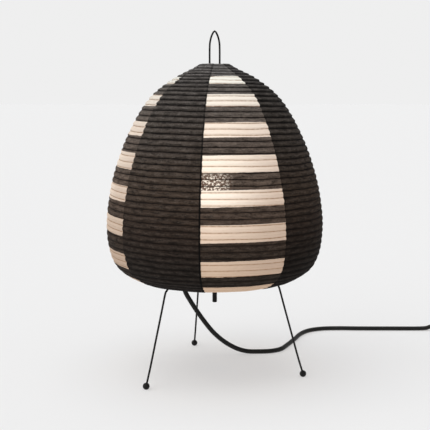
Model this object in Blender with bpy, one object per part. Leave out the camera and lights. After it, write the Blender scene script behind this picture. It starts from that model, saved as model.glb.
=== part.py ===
"""Pleated paper lantern: a table lamp with a round paper shade on a three-legged wire stand.

The shade is eight paper gores glued over one long coiled rib, held between a top ring and a
bottom ring. A bow of springy wire carries the top ring, and its two legs stand in the hub
that also carries the lampholder and the three legs. The lead leaves the lampholder's side,
drops to the table and runs to an inline switch, a coil and the plug.

Metres, +Z up, origin on the lamp's axis at table level, -Y is the front.
"""
import math

import bmesh
import bpy
from mathutils import Matrix, Vector

# ---------------------------------------------------------------- driving dimensions

GAP = 0.0003                    # running gap between pieces that touch

# Shade
SHADE_OUTLINE = [               # (radius, height) from the hem to the rim
    (0.0800, 0.1150), (0.0940, 0.1172), (0.1080, 0.1242), (0.1200, 0.1350),
    (0.1275, 0.1545), (0.1300, 0.1810), (0.1274, 0.2115), (0.1202, 0.2444),
    (0.1089, 0.2774), (0.0944, 0.3080), (0.0763, 0.3344), (0.0515, 0.3546),
    (0.0278, 0.3673), (0.0175, 0.3724),
]
GORE_COUNT = 8
FIRST_SEAM = math.radians(262.7)     # the seam a little left of the front
PAPER = 0.0005                  # thickness of the paper solid
GORE_ROWS = 18                  # facets along a gore
GORE_COLUMNS = 3                # facets across a gore
RIB_RADIUS = 0.0006
RIB_PITCH = 0.0072              # spacing of the rib's turns along the paper
RIB_STEPS = 12                  # straight pieces in one turn of the rib

# Rings, bridge and bow
BOTTOM_RING_RADIUS = 0.0774
BOTTOM_RING_WIRE = 0.00125
BOTTOM_RING_HEIGHT = 0.1162
TOP_RING_RADIUS = 0.0155
TOP_RING_WIRE = 0.0010
TOP_RING_HEIGHT = 0.3714
BOW_WIRE = 0.0010
BOW_HALF_GAP = 0.0059           # from the axis to each leg of the bow, above the bulb
BOW_TOP = 0.4110
BOW_HALF_WIDTH = 0.0400         # where it goes round the bulb
BOW_FOOT_RADIUS = 0.0140
BRIDGE_WIDTH = 0.0060
BRIDGE_THICKNESS = 0.0012

# Stand
HUB_RADIUS = 0.0180
HUB_BOTTOM = 0.1040
HUB_TOP = 0.1150
STEM_RADIUS = 0.0030
STEM_BOTTOM = 0.0850
LEG_ANGLES = {"front": math.radians(224.4), "right": math.radians(344.4), "back": math.radians(104.4)}
LEG_WIRE = 0.0012
LEG_HEIGHT = 0.1085             # where it leaves the hub
FOOT_CIRCLE = 0.1104            # the feet stand on this radius
FOOT_RADIUS = 0.0040
FOOT_FLAT = 0.0003              # how far the ball is ground flat underneath

# Lampholder and bulb
HOLDER_RADIUS = 0.0195
CAP_BOTTOM = 0.1166
CAP_TOP = 0.1460
HOLDER_TOP = 0.1780
GRIP_ANGLE = math.radians(130)
GRIP_HEIGHT = 0.1365
BULB_RADIUS = 0.0300
BULB_CENTRE = 0.2300
BULB_CAP_RADIUS = 0.0131

# Lead
CORD_RADIUS = 0.0030
CORD_SPACING = 0.0125           # between the tube's points
CORD_ROUTE = [                  # from the grip's end to the switch
    (-0.0227, 0.0271, 0.1365), (-0.0262, 0.0313, 0.1363), (-0.0328, 0.0391, 0.1333),
    (-0.0384, 0.0458, 0.1245), (-0.0404, 0.0481, 0.1146), (-0.0402, 0.0479, 0.1015),
    (-0.0379, 0.0470, 0.0883), (-0.0306, 0.0460, 0.0749), (-0.0213, 0.0465, 0.0602),
    (-0.0097, 0.0480, 0.0436), (0.0008, 0.0515, 0.0305), (0.0141, 0.0565, 0.0182),
    (0.0285, 0.0625, 0.0086), (0.0420, 0.0660, 0.0038), (0.0570, 0.0668, 0.0031),
    (0.0730, 0.0690, 0.0031), (0.0870, 0.0780, 0.0031),
    (0.0968, 0.0965, 0.0031), (0.1105, 0.1290, 0.0031), (0.1205, 0.1540, 0.0031),
    (0.1345, 0.1735, 0.0031), (0.1550, 0.1840, 0.0031), (0.1800, 0.1862, 0.0031),
    (0.2100, 0.1850, 0.0031), (0.2500, 0.1848, 0.0031), (0.2980, 0.1850, 0.0034),
    (0.3110, 0.1850, 0.0058), (0.3200, 0.1850, 0.0079), (0.3246, 0.1850, 0.0080),
]
SWITCH_START = 0.3250
SWITCH_LENGTH = 0.0540
SWITCH_WIDTH = 0.0240
SWITCH_HEIGHT = 0.0160
SWITCH_Y = 0.1850
COIL_CENTRE = (0.4150, 0.1450)
COIL_INNER = 0.0250
COIL_OUTER = 0.0430
COIL_BOTTOM = 0.0013
COIL_TOP = 0.0133
LINK_ROUTE = [                  # from the switch to the coil
    (0.3796, 0.1850, 0.0080), (0.3835, 0.1850, 0.0079), (0.3870, 0.1850, 0.0070),
    (0.3905, 0.1850, 0.0058),
]
TAIL_ROUTE = [                  # from the coil to the plug
    (0.4451, 0.1809, 0.0103), (0.4574, 0.1648, 0.0092), (0.4618, 0.1450, 0.0070),
    (0.4615, 0.1280, 0.0043), (0.4595, 0.1120, 0.0032), (0.4530, 0.0985, 0.0031),
    (0.4420, 0.0885, 0.0042), (0.4300, 0.0842, 0.0062), (0.4237, 0.0840, 0.0070),
]
PLUG_START = 0.4230
PLUG_Y = 0.0840
PLUG_LENGTH = 0.0360
PLUG_WIDTH = 0.0350
PLUG_THICKNESS = 0.0137
PIN_RADIUS = 0.0020
PIN_LENGTH = 0.0190
PIN_SPACING = 0.0186

ROUND = 24                      # facets round a turned piece


# ---------------------------------------------------------------- helpers

def clear_scene():
    for old in list(bpy.data.objects):
        bpy.data.objects.remove(old, do_unlink=True)


def material(name, colour, roughness=0.6, metallic=0.0):
    mat = bpy.data.materials.get(name) or bpy.data.materials.new(name)
    mat.use_nodes = True
    shader = mat.node_tree.nodes["Principled BSDF"]
    shader.inputs["Base Color"].default_value = (*colour, 1.0)
    shader.inputs["Roughness"].default_value = roughness
    shader.inputs["Metallic"].default_value = metallic
    return mat


def add(name, bm, mat, smooth=False, origin=(0, 0, 0)):
    """Make an object of the mesh, with its origin moved to a point such as a joint's axis."""
    bmesh.ops.recalc_face_normals(bm, faces=bm.faces)
    if bm.calc_volume(signed=True) < 0:
        bmesh.ops.reverse_faces(bm, faces=bm.faces)
    bm.transform(Matrix.Translation(-Vector(origin)))
    mesh = bpy.data.meshes.new(name)
    bm.to_mesh(mesh)
    bm.free()
    mesh.materials.append(mat)
    if smooth:
        mesh.shade_smooth()
        mesh.set_sharp_from_angle(angle=math.radians(35))
    obj = bpy.data.objects.new(name, mesh)
    obj.location = origin
    bpy.context.collection.objects.link(obj)
    return obj


def smooth_curve(points, spacing):
    """An odd number of evenly spaced points along a Catmull-Rom curve through the given ones."""
    knots = [Vector(p) for p in points]
    knots = [2 * knots[0] - knots[1], *knots, 2 * knots[-1] - knots[-2]]
    fine = [knots[1]]
    for a, b, c, d in zip(knots, knots[1:], knots[2:], knots[3:]):
        for i in range(1, 17):
            t = i / 16
            fine.append(0.5 * (2 * b + (c - a) * t + (2 * a - 5 * b + 4 * c - d) * t ** 2
                               + (3 * b - a - 3 * c + d) * t ** 3))
    lengths = [0.0]
    for a, b in zip(fine, fine[1:]):
        lengths.append(lengths[-1] + (b - a).length)
    count = max(2, 2 * round(lengths[-1] / spacing / 2))
    even = []
    k = 0
    for i in range(count + 1):
        target = lengths[-1] * i / count
        while k < len(fine) - 2 and lengths[k + 1] < target:
            k += 1
        share = (target - lengths[k]) / (lengths[k + 1] - lengths[k])
        even.append(fine[k].lerp(fine[k + 1], share))
    return even


def tube(name, points, radius, mat, sides_level=2):
    """A round wire or cord along the points, with closed ends."""
    curve = bpy.data.curves.new(name, "CURVE")
    curve.dimensions = "3D"
    curve.bevel_depth = radius
    curve.bevel_resolution = sides_level
    curve.use_fill_caps = True
    spline = curve.splines.new("POLY")
    spline.points.add(len(points) - 1)
    for spot, p in zip(spline.points, points):
        spot.co = (*p, 1.0)
    curve.materials.append(mat)
    obj = bpy.data.objects.new(name, curve)
    bpy.context.collection.objects.link(obj)
    return obj


def turned_mesh(profile, steps=ROUND):
    """Spin a closed (radius, height) outline, or one that starts and ends on the axis."""
    bm = bmesh.new()
    verts = [bm.verts.new((r, 0, z)) for r, z in profile]
    on_axis = profile[0][0] == 0 and profile[-1][0] == 0
    edges = [bm.edges.new(pair) for pair in zip(verts, verts[1:])]
    if not on_axis:
        edges.append(bm.edges.new((verts[-1], verts[0])))
    bmesh.ops.spin(bm, geom=verts + edges, cent=(0, 0, 0), axis=(0, 0, 1), angle=2 * math.pi,
                   steps=steps, use_merge=True)
    bmesh.ops.remove_doubles(bm, verts=bm.verts, dist=1e-6)
    return bm


def turned(name, profile, mat, steps=ROUND, origin=(0, 0, 0)):
    return add(name, turned_mesh(profile, steps), mat, smooth=True, origin=origin)


def ring(name, radius, wire, height, mat, steps=48, sides=6):
    outline = []
    for i in range(sides):
        turn = 2 * math.pi * (i + 0.5) / sides
        outline.append((radius + wire * math.cos(turn), height + wire * math.sin(turn)))
    return turned(name, outline, mat, steps)


def extruded_mesh(outline, depth):
    """A flat outline in X and Z, made solid to both sides of Y = 0."""
    bm = bmesh.new()
    face = bm.faces.new([bm.verts.new((x, -depth / 2, z)) for x, z in outline])
    grown = bmesh.ops.extrude_face_region(bm, geom=[face])
    top = [v for v in grown["geom"] if isinstance(v, bmesh.types.BMVert)]
    bmesh.ops.translate(bm, vec=(0, depth, 0), verts=top)
    return bm


def cutter(name, radius, start, end, sides=12):
    """A hidden cylinder from start to end, used to drill a piece."""
    start, end = Vector(start), Vector(end)
    bm = bmesh.new()
    bmesh.ops.create_cone(bm, cap_ends=True, segments=sides, radius1=radius, radius2=radius,
                          depth=(end - start).length)
    turn = (end - start).to_track_quat("Z", "Y").to_matrix().to_4x4()
    bm.transform(Matrix.Translation((start + end) / 2) @ turn)
    obj = add(name, bm, material("cutter", (0.8, 0.1, 0.1)))
    obj.hide_render = True
    obj.display_type = "WIRE"
    return obj


def box_cutter(name, low, high):
    low, high = Vector(low), Vector(high)
    bm = bmesh.new()
    bmesh.ops.create_cube(bm, size=1)
    bmesh.ops.scale(bm, vec=high - low, verts=bm.verts)
    bmesh.ops.translate(bm, vec=(low + high) / 2, verts=bm.verts)
    obj = add(name, bm, material("cutter", (0.8, 0.1, 0.1)))
    obj.hide_render = True
    obj.display_type = "WIRE"
    return obj


def cut(obj, *tools):
    for tool in tools:
        step = obj.modifiers.new("cut_" + tool.name, "BOOLEAN")
        step.operation = "DIFFERENCE"
        step.solver = "EXACT"
        step.object = tool


def polar(radius, angle, height):
    return Vector((radius * math.cos(angle), radius * math.sin(angle), height))


# ---------------------------------------------------------------- shade

def shade_rows(rows):
    outline = [(r, 0, z) for r, z in SHADE_OUTLINE]
    length = sum((Vector(b) - Vector(a)).length for a, b in zip(outline, outline[1:]))
    return [(p.x, p.z) for p in smooth_curve(outline, length / rows)]


def gore(name, start, mat):
    """One paper gore: a curved strip from the hem to the rim, made thick inwards."""
    bm = bmesh.new()
    grid = []
    for radius, height in shade_rows(GORE_ROWS):
        margin = GAP / 2 / radius
        sweep = 2 * math.pi / GORE_COUNT - 2 * margin
        grid.append([
            bm.verts.new(polar(radius, start + margin + sweep * i / GORE_COLUMNS, height))
            for i in range(GORE_COLUMNS + 1)
        ])
    for low, high in zip(grid, grid[1:]):
        for i in range(GORE_COLUMNS):
            bm.faces.new((low[i], low[i + 1], high[i + 1], high[i]))
    obj = add(name, bm, mat)
    widest = obj.data.polygons[len(obj.data.polygons) // 3]
    if widest.normal.x * widest.center.x + widest.normal.y * widest.center.y < 0:
        obj.data.flip_normals()
    wall = obj.modifiers.new("paper", "SOLIDIFY")
    wall.thickness = PAPER
    wall.offset = -1


def helical_rib(mat):
    """One continuous rib, wound down the inside of the paper."""
    rows = shade_rows(GORE_ROWS)
    length = sum(math.dist(a, b) for a, b in zip(rows, rows[1:]))
    inset = PAPER + GAP + 2 * RIB_RADIUS
    flat_facet = math.cos(math.pi / GORE_COUNT / GORE_COLUMNS)
    first, last = 0.75 * RIB_PITCH, length - 0.75 * RIB_PITCH
    steps = round((last - first) / RIB_PITCH * RIB_STEPS)
    bm = bmesh.new()
    sections = []
    for i in range(steps + 1):
        along = first + (last - first) * i / steps
        k = 0
        while along > math.dist(rows[k], rows[k + 1]):
            along -= math.dist(rows[k], rows[k + 1])
            k += 1
        low, high = Vector(rows[k]), Vector(rows[k + 1])
        run = (high - low).normalized()
        spot = low + run * along + Vector((-run.y, run.x)) * inset
        turn = -2 * math.pi * i / RIB_STEPS
        section = []
        for corner in range(3):
            tilt = 2 * math.pi * corner / 3 + math.pi
            r = spot.x * flat_facet + RIB_RADIUS * math.cos(tilt)
            section.append(bm.verts.new(polar(r, turn, spot.y + RIB_RADIUS * math.sin(tilt))))
        sections.append(section)
    for a, b in zip(sections, sections[1:]):
        for j in range(3):
            bm.faces.new((a[j], a[(j + 1) % 3], b[(j + 1) % 3], b[j]))
    bm.faces.new(sections[0])
    bm.faces.new(reversed(sections[-1]))
    add("helical_rib", bm, mat)


def shade():
    black = material("black_paper", (0.045, 0.04, 0.038), 0.85)
    white = material("white_paper", (0.86, 0.78, 0.68), 0.85)
    rib = material("rib_wire", (0.12, 0.09, 0.07), 0.5)
    steel = material("black_wire", (0.03, 0.03, 0.03), 0.4, 0.6)
    for i in range(GORE_COUNT):
        kind, mat = ("striped", white) if i % 2 == 0 else ("black", black)
        gore(f"{kind}_gore_{i // 2 + 1}", FIRST_SEAM + i * 2 * math.pi / GORE_COUNT, mat)
    helical_rib(rib)
    ring("bottom_ring", BOTTOM_RING_RADIUS, BOTTOM_RING_WIRE, BOTTOM_RING_HEIGHT, steel)
    ring("top_ring", TOP_RING_RADIUS, TOP_RING_WIRE, TOP_RING_HEIGHT, steel, steps=24)
    bridge(steel)


def bridge(mat):
    """The flat bar under the top ring, with two eyes that the bow's legs pass through."""
    half = TOP_RING_RADIUS
    top = TOP_RING_HEIGHT - TOP_RING_WIRE - GAP
    low = top - BRIDGE_THICKNESS
    obj = add("top_bridge", extruded_mesh([(-half, low), (half, low), (half, top), (-half, top)],
                                          BRIDGE_WIDTH), mat)
    for side in (-1, 1):
        x = side * BOW_HALF_GAP
        cut(obj, cutter(f"eye_{side}", BOW_WIRE + 0.0004, (x, 0, low - 0.002), (x, 0, top + 0.002), 10))


# ---------------------------------------------------------------- stand

def bow(mat):
    """The springy wire: a pointed loop on top, straight legs, then a wide bow round the bulb."""
    side = [
        (0.0000, BOW_TOP), (0.0030, BOW_TOP - 0.0042), (0.0051, BOW_TOP - 0.0110),
        (BOW_HALF_GAP, BOW_TOP - 0.0200), (BOW_HALF_GAP, 0.3600), (BOW_HALF_GAP, 0.3250),
        (BOW_HALF_GAP, 0.2870), (0.0110, 0.2780), (0.0290, 0.2650), (BOW_HALF_WIDTH, 0.2450),
        (BOW_HALF_WIDTH, 0.2150), (BOW_HALF_WIDTH, 0.1750), (0.0380, 0.1520), (0.0320, 0.1360),
        (0.0230, 0.1260), (0.0160, 0.1210), (BOW_FOOT_RADIUS, 0.1160),
        (BOW_FOOT_RADIUS, HUB_TOP - 0.0045),
    ]
    route = [(x, 0, z) for x, z in reversed(side)] + [(-x, 0, z) for x, z in side[1:]]
    tube("bow", smooth_curve(route, 0.0075), BOW_WIRE, mat, sides_level=1)


def hub(mat):
    bore = STEM_RADIUS + GAP
    edge = 0.0010
    outline = [
        (bore, HUB_BOTTOM), (HUB_RADIUS - edge, HUB_BOTTOM), (HUB_RADIUS, HUB_BOTTOM + edge),
        (HUB_RADIUS, HUB_TOP - edge), (HUB_RADIUS - edge, HUB_TOP), (bore, HUB_TOP),
    ]
    obj = turned("hub", outline, mat, steps=24)
    for name, angle in LEG_ANGLES.items():
        cut(obj, cutter("socket_" + name, LEG_WIRE + 0.0004, polar(0.0100, angle, LEG_HEIGHT),
                        polar(HUB_RADIUS + 0.003, angle, LEG_HEIGHT), 10))
    for side in (-1, 1):
        x = side * BOW_FOOT_RADIUS
        cut(obj, cutter(f"bow_socket_{side}", BOW_WIRE + 0.0004, (x, 0, HUB_TOP - 0.0049),
                        (x, 0, HUB_TOP + 0.002), 10))


def stem(mat):
    """The long bolt that holds the lampholder, washer and hub together; its tail shows below."""
    r, head = STEM_RADIUS, 0.0060
    head_low = CAP_BOTTOM + 0.0040 + GAP
    turned("centre_stem", [
        (0, STEM_BOTTOM), (r - 0.0005, STEM_BOTTOM), (r, STEM_BOTTOM + 0.0005), (r, head_low),
        (head, head_low), (head, head_low + 0.0020), (head - 0.0008, head_low + 0.0028),
        (0, head_low + 0.0028),
    ], mat, steps=16)
    hole = STEM_RADIUS + GAP
    top = HUB_BOTTOM - GAP
    bm = bmesh.new()
    bmesh.ops.create_cone(bm, cap_ends=True, segments=6, radius1=0.0055, radius2=0.0055, depth=0.0045)
    bmesh.ops.translate(bm, vec=(0, 0, top - 0.00225), verts=bm.verts)
    cut(add("stem_nut", bm, mat), cutter("nut_hole", hole, (0, 0, top - 0.006), (0, 0, top + 0.002), 16))
    low = HUB_TOP + GAP
    washer = [(hole, low), (0.0075, low), (0.0075, low + 0.0010), (hole, low + 0.0010)]
    turned("hub_washer", washer, mat, steps=20)


def leg(name, angle, mat):
    """A bent wire: out of the hub, up inside the bottom ring, a notch for the ring, then down."""
    knee = BOTTOM_RING_RADIUS - BOTTOM_RING_WIRE - LEG_WIRE - 0.0008
    ball = FOOT_RADIUS - FOOT_FLAT
    slope = Vector((FOOT_CIRCLE - 0.0802, ball - 0.1075)).normalized()
    tip = Vector((FOOT_CIRCLE, ball)) - slope * 0.0006
    side = [
        (0.0106, LEG_HEIGHT), (0.0240, LEG_HEIGHT), (0.0420, LEG_HEIGHT + 0.0010), (0.0600, 0.1140),
        (0.0700, 0.1200), (0.0750, 0.1216), (knee, BOTTOM_RING_HEIGHT), (0.0776, 0.1108),
        (0.0802, 0.1075), (0.0860, 0.0871), (0.0950, 0.0555), (0.1040, 0.0240), tuple(tip),
    ]
    tube(f"leg_{name}", smooth_curve([polar(r, angle, z) for r, z in side], 0.0045), LEG_WIRE,
         mat, sides_level=1)
    centre = polar(FOOT_CIRCLE, angle, ball)
    bm = bmesh.new()
    bmesh.ops.create_uvsphere(bm, u_segments=16, v_segments=10, radius=FOOT_RADIUS)
    foot = add(f"foot_{name}", bm, mat, smooth=True)
    foot.location = centre
    reach = polar(slope.x, angle, slope.y)
    floor = FOOT_RADIUS * 2
    cut(foot,
        cutter("foot_socket_" + name, LEG_WIRE + 0.0004, centre - reach * 0.0002,
               centre - reach * 0.0080, 10),
        box_cutter("foot_flat_" + name, centre + Vector((-floor, -floor, -ball - 0.004)),
                   centre + Vector((floor, floor, -ball))))


def stand():
    steel = material("black_wire", (0.03, 0.03, 0.03), 0.4, 0.6)
    enamel = material("black_enamel", (0.025, 0.025, 0.025), 0.45, 0.3)
    hub(enamel)
    stem(steel)
    bow(steel)
    for name, angle in LEG_ANGLES.items():
        leg(name, angle, steel)


# ---------------------------------------------------------------- lampholder and bulb

def lampholder():
    plastic = material("holder_plastic", (0.02, 0.02, 0.02), 0.5)
    ceramic = material("holder_core", (0.75, 0.73, 0.68), 0.5)
    brass = material("contact_brass", (0.75, 0.55, 0.25), 0.35, 1.0)
    r, wall, hole = HOLDER_RADIUS, 0.0016, STEM_RADIUS + GAP
    cap = turned("holder_cap", [
        (hole, CAP_BOTTOM), (0.0092, CAP_BOTTOM), (0.0098, CAP_BOTTOM + 0.0040),
        (0.0145, CAP_BOTTOM + 0.0082), (r, CAP_BOTTOM + 0.0135), (r, CAP_TOP),
        (r - wall, CAP_TOP), (r - wall, CAP_BOTTOM + 0.0143), (0.0130, CAP_BOTTOM + 0.0094),
        (0.0082, CAP_BOTTOM + 0.0050), (0.0082, CAP_BOTTOM + 0.0040), (hole, CAP_BOTTOM + 0.0040),
    ], plastic)
    cut(cap, cutter("grip_hole", 0.0043, polar(0.0120, GRIP_ANGLE, GRIP_HEIGHT),
                    polar(0.0260, GRIP_ANGLE, GRIP_HEIGHT), 16))
    seat, low = 0.0041, CAP_TOP + GAP
    turned("holder_skirt", [
        (r, low), (r, HOLDER_TOP - 0.001), (r - 0.001, HOLDER_TOP), (0.0146, HOLDER_TOP),
        (0.0146, low + seat), (0.0176, low + seat), (0.0176, low),
    ], plastic)
    core_top = low + seat - GAP
    turned("holder_core", [
        (0, CAP_TOP - 0.0035), (0.0168, CAP_TOP - 0.0035), (0.0172, CAP_TOP - 0.0020),
        (0.0172, core_top), (0, core_top),
    ], ceramic, steps=24)
    shell_low = core_top + 0.0009
    turned("screw_shell", [
        (0.0136, shell_low), (0.0142, shell_low), (0.0142, 0.1760), (0.0136, 0.1760),
    ], brass)
    spring = [(-0.0060, 0.0), (-0.0010, 0.0), (0.0050, 0.0008), (0.0050, 0.0013),
              (-0.0015, 0.0005), (-0.0060, 0.0005)]
    add("centre_contact", extruded_mesh([(x, core_top + GAP + z) for x, z in spring], 0.0050), brass)
    cord_grip()


def cord_grip():
    """The tapered sleeve that holds the lead where it leaves the lampholder's side."""
    rubber = material("cord_rubber", (0.015, 0.015, 0.015), 0.6)
    outline = [
        (0, 0.0160), (0.0039, 0.0160), (0.0039, 0.0199), (0.0052, 0.0199), (0.0052, 0.0220),
        (0.0046, 0.0232), (0.0035, 0.0340), (0.0031, 0.0343), (0, 0.0343),
    ]
    bm = turned_mesh(outline, 16)
    bm.transform(Matrix.Translation((0, 0, GRIP_HEIGHT)) @ Matrix.Rotation(GRIP_ANGLE, 4, "Z")
                 @ Matrix.Rotation(math.pi / 2, 4, "Y"))
    add("cord_grip", bm, rubber, smooth=True)


def bulb():
    """A round-topped bulb with a screw cap; its origin is on the axis that it turns about."""
    glass = material("opal_glass", (0.95, 0.9, 0.8), 0.2)
    steel = material("cap_metal", (0.8, 0.8, 0.8), 0.3, 1.0)
    dark = material("cap_insulator", (0.05, 0.05, 0.06), 0.3)
    brass = material("contact_brass", (0.75, 0.55, 0.25), 0.35, 1.0)
    origin = (0, 0, BULB_CENTRE)
    r, wall, steps = BULB_RADIUS, 0.0009, 20

    def globe(radius):
        arc = [math.radians(a) for a in (8, 26, 44, 62, 78)]
        return [(radius * math.cos(a), BULB_CENTRE + radius * math.sin(a)) for a in arc]

    neck = [(0.0120, 0.1720), (0.0120, 0.1812), (0.0145, 0.1845), (0.0175, 0.1940),
            (0.0225, 0.2060), (0.0275, 0.2175)]
    inside = [(x - wall, z) for x, z in neck]
    turned("bulb_glass", bulb_outline(neck, globe(r), globe(r - wall), inside, wall), glass, steps,
           origin)
    c = BULB_CAP_RADIUS
    turned("bulb_cap", [
        (0.0090, 0.1572), (0.0110, 0.1572), (c, 0.1600), (c, 0.1806), (c - 0.0006, 0.1806),
        (c - 0.0006, 0.1604), (0.0106, 0.1580), (0.0090, 0.1580),
    ], steel, steps, origin)
    turned("bulb_insulator", [
        (0, 0.1545), (0.0048, 0.1545), (0.0087, 0.1569), (0.0087, 0.1600), (0, 0.1600),
    ], dark, steps, origin)
    turned("bulb_filament_mount", [
        (0, 0.1640), (0.0080, 0.1640), (0.0080, 0.1680), (0.0030, 0.1790), (0.0022, 0.2120),
        (0.0050, 0.2160), (0.0050, 0.2178), (0, 0.2190),
    ], glass, 12, origin)
    turned("bulb_tip", [
        (0, 0.1526), (0.0030, 0.1526), (0.0042, 0.1534), (0.0042, 0.1542), (0, 0.1542),
    ], brass, 16, origin)


def bulb_outline(neck, outer, inner, inside, wall):
    """The glass as a closed loop: up the outside to the crown, then down the inside."""
    crown = BULB_CENTRE + BULB_RADIUS
    return [*neck, *outer, (0, crown), (0, crown - wall), *reversed(inner), *reversed(inside)]


# ---------------------------------------------------------------- lead, switch and plug

def lead():
    rubber = material("cord_rubber", (0.015, 0.015, 0.015), 0.6)
    tube("cord_tube", smooth_curve(CORD_ROUTE, CORD_SPACING), CORD_RADIUS, rubber)
    tube("cord_link", smooth_curve(LINK_ROUTE, CORD_SPACING), CORD_RADIUS, rubber)
    tube("cord_tail", smooth_curve(TAIL_ROUTE, CORD_SPACING), CORD_RADIUS, rubber)
    x, y = COIL_CENTRE
    bm = turned_mesh([
        (COIL_INNER, COIL_BOTTOM + 0.002), (COIL_INNER + 0.002, COIL_BOTTOM),
        (COIL_OUTER - 0.002, COIL_BOTTOM), (COIL_OUTER, COIL_BOTTOM + 0.002),
        (COIL_OUTER, COIL_TOP - 0.002), (COIL_OUTER - 0.002, COIL_TOP),
        (COIL_INNER + 0.002, COIL_TOP), (COIL_INNER, COIL_TOP - 0.002),
    ], 32)
    bm.transform(Matrix.Translation((x, y, 0)))
    add("cord_coil", bm, rubber, smooth=True)
    coil_tie(x, y)


def coil_tie(x, y):
    """A flat band round the coil's turns, on its left side."""
    web = material("tie_band", (0.02, 0.02, 0.02), 0.8)
    inner, outer, thick = COIL_INNER - 0.0011, COIL_OUTER + GAP, 0.0008
    low, high = COIL_BOTTOM - GAP, COIL_TOP + GAP
    bm = extruded_mesh([(-outer - thick, low - thick), (-inner + thick, low - thick),
                        (-inner + thick, high + thick), (-outer - thick, high + thick)], 0.0120)
    bm.transform(Matrix.Translation((x, y, 0)))
    band = add("coil_tie", bm, web)
    cut(band, box_cutter("tie_space", (x - outer, y - 0.02, low), (x - inner, y + 0.02, high)))


def switch():
    """The inline rocker switch: base, cover, one screw, and a rocker on a cross axis."""
    plastic = material("switch_plastic", (0.02, 0.02, 0.02), 0.4)
    steel = material("screw_steel", (0.6, 0.6, 0.6), 0.35, 1.0)
    half, width = SWITCH_LENGTH / 2, SWITCH_WIDTH / 2
    middle, y = SWITCH_START + half, SWITCH_Y
    seam = SWITCH_HEIGHT / 2

    def half_shell(name, low, high, inset_low, inset_high):
        plan = [(-half, -0.4), (-0.6 * half, -1), (0.6 * half, -1), (half, -0.4),
                (half, 0.4), (0.6 * half, 1), (-0.6 * half, 1), (-half, 0.4)]
        bm = bmesh.new()
        layers = []
        for z, inset in ((low, inset_low), (high, inset_high)):
            layers.append([
                bm.verts.new((middle + px * (1 - inset / half), y + py * (width - inset), z))
                for px, py in plan
            ])
        bm.faces.new(reversed(layers[0]))
        bm.faces.new(layers[1])
        for i in range(8):
            j = (i + 1) % 8
            bm.faces.new((layers[0][i], layers[0][j], layers[1][j], layers[1][i]))
        return add(name, bm, plastic)

    half_shell("switch_base", 0.0002, seam - GAP / 2, 0.0015, 0)
    cover = half_shell("switch_cover", seam + GAP / 2, SWITCH_HEIGHT, 0, 0.0015)
    slot = (0.0082, 0.0052)
    cut(cover,
        box_cutter("rocker_slot", (middle - slot[0], y - slot[1], SWITCH_HEIGHT - 0.0052),
                   (middle + slot[0], y + slot[1], SWITCH_HEIGHT + 0.004)),
        cutter("screw_recess", 0.0030, (middle + 0.0165, y, SWITCH_HEIGHT - 0.0026),
               (middle + 0.0165, y, SWITCH_HEIGHT + 0.002), 16))
    head = turned_mesh([
        (0, 0), (0.0026, 0), (0.0026, 0.0012), (0.0018, 0.0018), (0, 0.0018),
    ], 16)
    head.transform(Matrix.Translation((middle + 0.0165, y, SWITCH_HEIGHT - 0.0023)))
    add("switch_screw", head, steel, smooth=True)

    pivot = (middle, y, SWITCH_HEIGHT - 0.0010)
    tilt = Matrix.Rotation(math.radians(-7), 4, "Y")
    rocker = extruded_mesh([
        (-0.0070, 0.0022), (-0.0070, -0.0008), (-0.0030, -0.0026), (0.0030, -0.0026),
        (0.0070, -0.0008), (0.0070, 0.0022), (0.0000, 0.0012),
    ], 0.0096)
    rocker.transform(Matrix.Translation(pivot) @ tilt)
    add("switch_rocker", rocker, plastic, origin=pivot)


def plug():
    """A flat two-pin plug lying beside the coil, its pins pointing to -X."""
    rubber = material("cord_rubber", (0.015, 0.015, 0.015), 0.6)
    metal = material("cap_metal", (0.8, 0.8, 0.8), 0.3, 1.0)
    low, high = 0.0002, PLUG_THICKNESS
    waist, full = 0.0045, PLUG_WIDTH / 2
    plan = [(0, -waist), (0, waist), (-0.010, waist + 0.001), (-0.022, full), (-PLUG_LENGTH, full),
            (-PLUG_LENGTH, -full), (-0.022, -full), (-0.010, -waist - 0.001)]
    edge = 0.0020
    bm = bmesh.new()
    layers = []
    for z, inset in ((low, edge), (low + edge, 0), (high - edge, 0), (high, edge)):
        layers.append([
            bm.verts.new((PLUG_START + px + (inset / 2 if px < -0.03 else 0),
                          PLUG_Y + py * (1 - inset / full), z)) for px, py in plan
        ])
    bm.faces.new(layers[0])
    bm.faces.new(reversed(layers[-1]))
    for below, above in zip(layers, layers[1:]):
        for i in range(8):
            j = (i + 1) % 8
            bm.faces.new((below[i], above[i], above[j], below[j]))
    add("plug_body", bm, rubber)
    face = PLUG_START - PLUG_LENGTH - GAP
    for i, side in enumerate((-1, 1)):
        bm = turned_mesh([(0, 0), (PIN_RADIUS, 0), (PIN_RADIUS, PIN_LENGTH - 0.001),
                          (PIN_RADIUS - 0.0008, PIN_LENGTH), (0, PIN_LENGTH)], 12)
        bm.transform(Matrix.Translation((face, PLUG_Y + side * PIN_SPACING / 2, (low + high) / 2))
                     @ Matrix.Rotation(-math.pi / 2, 4, "Y"))
        add(f"plug_pin_{i + 1}", bm, metal, smooth=True)


def main():
    clear_scene()
    stand()
    lampholder()
    bulb()
    shade()
    lead()
    switch()
    plug()


main()
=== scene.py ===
"""Pleated paper lantern: a table lamp with a striped paper shade on a three-legged wire stand.

The looks of the lamp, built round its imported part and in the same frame: metres, +Z up, the
origin on the lamp's axis at table level, -Y the front.
"""
import math

import bpy
import numpy as np
from mathutils import Matrix, Vector, noise


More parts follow.
